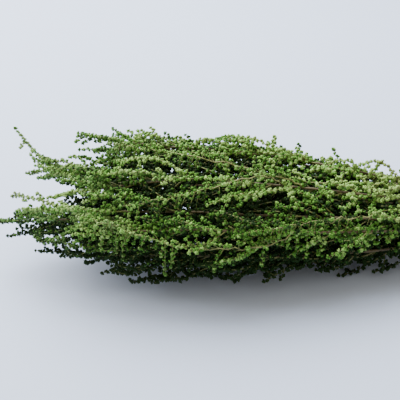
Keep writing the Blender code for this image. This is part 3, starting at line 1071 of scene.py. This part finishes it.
def leaf_finish():
    """Preserved leaves: fresh mid green with pale tips that are partly a painted highlight, painted shade in
    the heart of each tuft, and some tufts yellower or duller.
    """
    material, start, finish = new_finish("preserved_leaf")
    tone = start.attribute("tone")
    tip = start.attribute("tip")
    place = start.place()
    mottle = place.noise(scale=650, detail=3)
    fading = place.noise(scale=38, detail=2)
    pores = place.noise(scale=2600, detail=2)
    # The tone carries each tuft's own random tone together with the painted light and shade of its place.
    color = (tone + (mottle - 0.5) * MOTTLING).kept_in_unit().ramp(
        (0.0, (0.006, 0.024, 0.003, 1)),
        (0.30, (0.042, 0.150, 0.014, 1)),
        (0.70, (0.122, 0.306, 0.047, 1)),
        (1.0, (0.272, 0.452, 0.130, 1)),
    )
    x = start.node("ShaderNodeSeparateXYZ", {}, {0: place})
    faded = ((fading - 0.5) * FADED_PATCHINESS + (FADED_PAST_X - x) * FADED_PER_METRE).kept_in_unit()
    color = color.mixed((0.165, 0.215, 0.118, 1), faded * (tone * 0.8).kept_in_unit())
    browned = (fading - 0.5) * BROWNED_PATCHINESS + (x - BROWNED_BEFORE_X) * BROWNED_PER_METRE
    color = color.mixed((0.19, 0.17, 0.065, 1), browned.kept_in_unit() * (tone * 0.8).kept_in_unit())
    # Painted shade: each leaf is painted darker towards its base, in the heart of its tuft.
    color = color.mixed((0.004, 0.018, 0.001, 1), (0.95 - 1.3 * tip).kept_in_unit())
    # The leaf tips are mixed towards pale yellow-green: partly the paler young tips, partly a painted
    # highlight.
    pale_tips_and_highlight = (tip * 1.6 - 1.0).kept_in_unit() * (tone * 0.7 + 0.1).kept_in_unit()
    color = color.mixed((0.285, 0.440, 0.104, 1), pale_tips_and_highlight)
    dimples = pores.bump(strength=0.25, distance=0.0002)
    finish(Base_Color=color, Roughness=0.55 + mottle * 0.2, Normal=dimples, Specular_IOR_Level=0.13)
    return material


def tuft_radius(point):
    """The usual radius of a tuft at a place: the youngest ones, near the plume's tips, are smallest."""
    return NEAR_TUFT_RADIUS + (TIP_TUFT_RADIUS - NEAR_TUFT_RADIUS) * plume_share(point)**SMALLER_LATE


def tufts_along(draw, route, bare_length):
    """Where a route's tufts sit, left and right in turn, each as its place and its direction."""
    lengths = lengths_along(route)
    places = []
    distance = bare_length + draw.uniform(0, FIRST_TUFT_WITHIN) * TUFT_SPACING * TIP_TUFT_RADIUS
    left_or_right = 1
    while distance < lengths[-1] - LAST_TUFT_BEFORE * TUFT_SPACING * TIP_TUFT_RADIUS:
        point, forward = point_at(route, lengths, distance)
        near_tips = plume_share(point)**4
        spacing = TUFT_SPACING * tuft_radius(point) * (1 - CLOSER_AT_TIPS * near_tips)
        side, over = crosswise(forward)
        roll = draw.uniform(-TUFT_ROLL, TUFT_ROLL)
        sideways = left_or_right * (side * math.cos(roll) + over * math.sin(roll))
        direction = sideways + (TUFT_FORWARD + FORWARD_AT_TIPS * near_tips) * forward
        places.append((point + sideways * TUFT_SIDESTEP_SHARE * TUFT_SIDESTEP, direction.normalized()))
        left_or_right = -left_or_right
        is_deep = outness(point).length < DEEP_BELOW and point.x > OPEN_TIPS_X
        distance += spacing * draw.uniform(*TUFT_SPACING_SPREAD) * (DEEP_SPACING if is_deep else 1)
    places.append((route[-1], (route[-1] - route[-2]).normalized()))
    return places


def openness(place):
    """How open to the air a place is: 1 at the plume's skin, and more where its tips stand apart."""
    share = plume_share(place)
    return outness(place).length + slimness(share) + max(share - OPEN_FROM, 0) * OPENNESS


def height_in_plume(place):
    """How high in the slimmed plume a place lies, from -1 to 1, evened out where the tips stand apart."""
    share = plume_share(place)
    height = outness(place).z / max(1 - slimness(share), SLIMMEST)
    levelled = OPEN_TIPS_LEVELLED * (OPEN_TIPS_HEIGHT - height)
    return height + levelled * eased((share - OPEN_FROM) / (1 - OPEN_FROM))


def on_side(place):
    """How near a place is to the middle of the plume's bulging sides, from 0 to 1."""
    return max(1 - abs(height_in_plume(place) - SIDE_HEIGHT) / SIDE_REACH, 0)


def painted_light_by_height(place):
    """How much lighter the leaves are painted on top and on the bulging sides, and how much darker
    underneath: painted light and shade.
    """
    share, height = plume_share(place), height_in_plume(place)
    top_gain = TOP_GAIN_AT_BAND - TOP_GAIN_LOST_TO_TIPS * share
    tone = top_gain * (height - TOP_FROM) + SIDE_BRIGHTNESS * on_side(place)
    return tone - LOW_DARKNESS * max(-height - LOW_FROM, 0) * math.sin(math.pi * share**2)


def fold_shade(place):
    """How much painted shade darkens the leaves in the long fold between the plume's top and its bulging
    sides.
    """
    darkest = FOLD_DARKNESS * (1 + FOLD_DEEPER_AT_BAND * (1 - plume_share(place))**3)
    return darkest * max(1 - abs(height_in_plume(place) - FOLD_HEIGHT) / FOLD_REACH, 0)


def inner_shade(place):
    """How much painted shade darkens the leaves in the heart of the plume."""
    deepness = max(UNSHADED_FROM - openness(place), 0)
    return INNER_DARKNESS * (1 + GAPS_DARKER_ON_SIDE * on_side(place)) * deepness


def near_band_shade(place):
    """How much painted shade darkens the leaves towards the bare stalks, but for those on top."""
    nearness = max(NEAR_BAND_TO - plume_share(place), 0)
    return NEAR_BAND_DARKNESS * nearness * (1 - max(outness(place).z, 0))


kinds_draw = random.Random(TUFT_KINDS_SEED)
tuft_kinds = []
for least, leaves, larger in LEAVES_BY_DEPTH:
    tuft_kinds.append((least, [tuft_mesh(leaves, kinds_draw) for _ in range(TUFT_KINDS)], larger))
leaf = leaf_finish()
for number, stem in enumerate(stems):
    draw = random.Random(TUFT_SEED + number)
    stem_tone = draw.uniform(-STEM_TONE_SPREAD, STEM_TONE_SPREAD)
    routes = [(twig, TWIG_BARE_LENGTH, 0) for twig in stem["twigs"]]
    routes += [(sprig, SPRIG_BARE_LENGTH, 0) for sprig in stem["sprigs"]]
    for branch in stem["branches"]:
        routes.append((branch, BRANCH_BARE_SHARE * len(branch) * TWIG_STEP, HANGING_PAINTED_LIGHT))
    routes += [(chain, CHAIN_BARE_LENGTH, HANGING_PAINTED_LIGHT) for chain in stem["hanging"]]
    if number == COVERED_STEM:
        covered = [point for point in stem["route"] if OPEN_TIPS_X < point.x < LEAVES_START_X]
        routes.append((covered, COVERED_BARE_LENGTH, 0))
    work = bmesh.new()
    tones = []
    for route, bare_length, hanging_painted_light in routes:
        route_tone = stem_tone + draw.gauss(USUAL_TONE, ROUTE_TONE_SPREAD) + hanging_painted_light
        for place, direction in tufts_along(draw, route, bare_length):
            kinds, larger = next(rest for least, *rest in tuft_kinds if openness(place) >= least)
            tuft = draw.choice(kinds).copy()
            spin = Matrix.Rotation(draw.uniform(0, 2 * math.pi), 4, "Z")
            turned = direction.to_track_quat("Z", "Y").to_matrix().to_4x4() @ spin
            size = tuft_radius(place) * larger * draw.uniform(*TUFT_SIZES)
            tone = route_tone + draw.gauss(0, TUFT_TONE_SPREAD)
            # Painted shade deep in the plume, in its fold and towards the bare stalks.
            tone -= inner_shade(place) + fold_shade(place) + near_band_shade(place)
            # Hanging tufts get their own painted light and a smaller size; the others get painted light and
            # shade by height.
            if hanging_painted_light:
                size *= HANGING_SIZE
            else:
                tone += painted_light_by_height(place)
            tuft.transform(Matrix.Translation(place + band_place) @ turned @ Matrix.Scale(size, 4))
            work.from_mesh(tuft)
            tones += [tone] * len(tuft.vertices)
            bpy.data.meshes.remove(tuft)
    tone_layer = work.verts.layers.float["tone"]
    for vertex, tone in zip(work.verts, tones):
        vertex[tone_layer] += tone
        vertex.co.z = max(vertex.co.z, LOWEST_LEAF)
    tufts = piece_from(work, f"stem_{number + 1:02d}_leaf_tufts", leaf)
    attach(tufts, "root")
    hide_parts(f"leafy_stem_{number + 1:02d}")

# The floor and the light. The bunch lies on a smooth white table. A large soft light stands behind and above
# it, so the side towards the viewer lies in its own soft shadow.
FLOOR_REACH = 4
FLOOR_COLOR = (0.432, 0.524, 0.718, 1)
ROOM_COLOR = (1.0, 0.87, 0.69, 1)
ROOM_STRENGTH = 1.06


def soft_light(name, place, target, size, energy, color):
    """A large square lamp at a place, turned to a target."""
    lamp = bpy.data.lights.new(name, "AREA")
    lamp.size = size
    lamp.energy = energy
    lamp.color = color
    holder = bpy.data.objects.new(name, lamp)
    holder.location = place
    holder.rotation_euler = (Vector(target) - Vector(place)).to_track_quat("-Z", "Y").to_euler()
    bpy.context.scene.collection.objects.link(holder)


work = bmesh.new()
bmesh.ops.create_grid(work, x_segments=1, y_segments=1, size=FLOOR_REACH)
table, start, finish = new_finish("white_table")
finish(Base_Color=FLOOR_COLOR, Roughness=0.7)
floor = piece_from(work, "floor", table, smooth=False)

soft_light(
    "window", place=(-1.20, 0.80, 0.95), target=(-0.06, 0.0, 0.03),
    size=2.5, energy=122, color=(1.0, 0.99, 0.97),
)
soft_light(
    "ceiling", place=(0.0, 0.66, 1.15), target=(-0.06, 0.1, 0.0),
    size=1.3, energy=37, color=(0.97, 0.99, 1.0),
)
world = bpy.data.worlds.new("room")
world.use_nodes = True
background = world.node_tree.nodes["Background"].inputs
background["Color"].default_value = ROOM_COLOR
background["Strength"].default_value = ROOM_STRENGTH
bpy.context.scene.world = world
